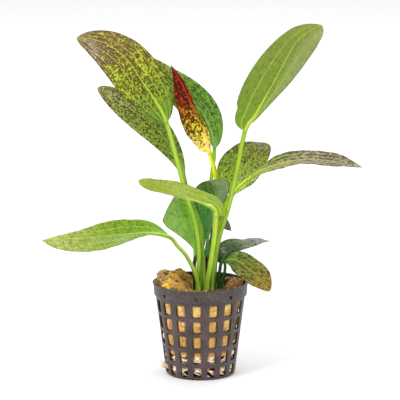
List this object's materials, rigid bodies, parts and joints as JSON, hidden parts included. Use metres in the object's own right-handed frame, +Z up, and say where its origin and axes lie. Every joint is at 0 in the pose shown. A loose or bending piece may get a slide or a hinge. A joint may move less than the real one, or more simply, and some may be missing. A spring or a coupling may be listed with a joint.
{
  "type": "potted amazon sword plant",
  "caption": "Aquarium plant with long-stalked oval leaves, mottled green, brown and crimson, growing from mineral wool in a small dark net pot with square windows.",
  "frame": {"origin": "middle of the net pot's flat base, where it rests on a surface", "axes": "+Z up along the pot's own axis; -Y faces the viewer of the picture, +X to that viewer's right"},
  "size_m": [0.177, 0.0918, 0.2067],
  "materials": {
    "leaf_mottled": "glossy living leaf, lime green with purple-brown mottling",
    "leaf_plain": "glossy living leaf, plain olive to bright green with pale veins",
    "leaf_dark": "glossy living leaf, dark green",
    "leaf_red": "glossy young leaf, crimson over yellow",
    "pot_plastic": "moulded grey-brown polypropylene, satin",
    "wool": "damp ochre mineral wool, matte and fibrous",
    "roots": "cream plant roots and crown, matte"
  },
  "bodies": {
    "root": {"crown_and_roots": "roots", "leaf_front_left": "leaf_plain", "leaf_left_behind": "leaf_mottled", "leaf_left_dark": "leaf_dark", "leaf_low_left": "leaf_plain", "leaf_low_right": "leaf_mottled", "leaf_low_right_dark": "leaf_dark", "leaf_middle_behind": "leaf_mottled", "leaf_middle_dark": "leaf_dark", "leaf_right_behind": "leaf_mottled", "leaf_right_long": "leaf_mottled", "leaf_small_grey": "leaf_dark", "leaf_upper_left": "leaf_mottled", "leaf_upper_right": "leaf_plain", "leaf_young_red": "leaf_red", "net_pot": "pot_plastic", "stray_roots": "roots", "wool_left": "wool", "wool_right": "wool"}
  },
  "joints": []
}
